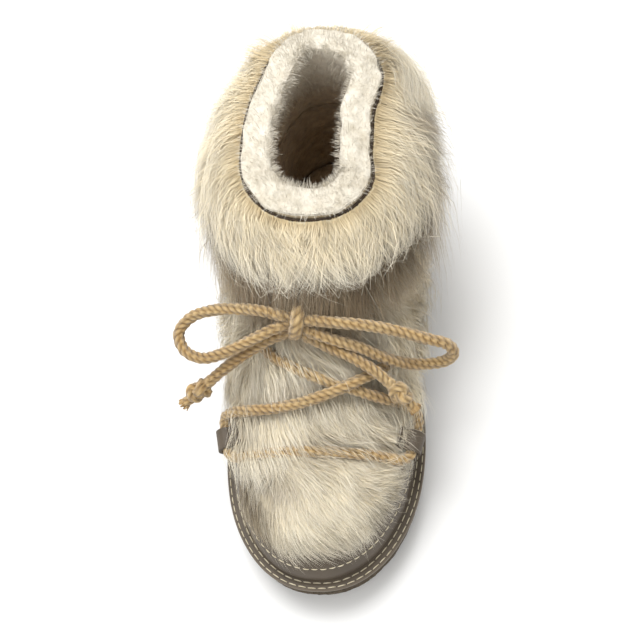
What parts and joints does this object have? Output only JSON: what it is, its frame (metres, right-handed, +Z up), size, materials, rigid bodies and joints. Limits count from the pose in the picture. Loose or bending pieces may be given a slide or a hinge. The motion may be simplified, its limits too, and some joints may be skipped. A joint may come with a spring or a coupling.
{
  "type": "mukluk boot",
  "caption": "Ankle-high fur mukluk boot with a wool lining, a leather rand on a crepe outsole, a deep fur cuff and a cord bow.",
  "frame": {"origin": "on the plane that the sole stands on, at the middle of the outsole's length and width", "axes": "+Z up, -Y towards the toe, +X towards the wearer's inner side"},
  "size_m": [0.1453, 0.284, 0.1589],
  "materials": {
    "crepe": "rough crepe rubber",
    "leather": "waxed taupe leather",
    "hide": "pale suede",
    "wool": "sheared wool",
    "binding": "dark brown leather edge",
    "fur": "long soft fur, cream with grey-brown roots",
    "cord": "braided cotton cord"
  },
  "bodies": {
    "root": {"outsole": "crepe", "welt": "leather", "rand": "leather", "upper": "hide", "lining": "wool", "insole": "wool", "collar_binding": "binding", "fur_vamp": "fur", "fur_tongue": "fur", "fur_quarter_medial": "fur", "fur_quarter_lateral": "fur", "fur_cuff": "fur", "lace_loop_medial": "leather", "lace_loop_lateral": "leather", "lace_crossings": "cord", "lace_wrap": "cord", "bow_knot": "cord", "bow_loop_medial": "cord", "bow_loop_lateral": "cord", "bow_end_medial": "cord", "bow_end_lateral": "cord", "end_knot_medial": "cord", "end_knot_lateral": "cord"}
  },
  "joints": []
}
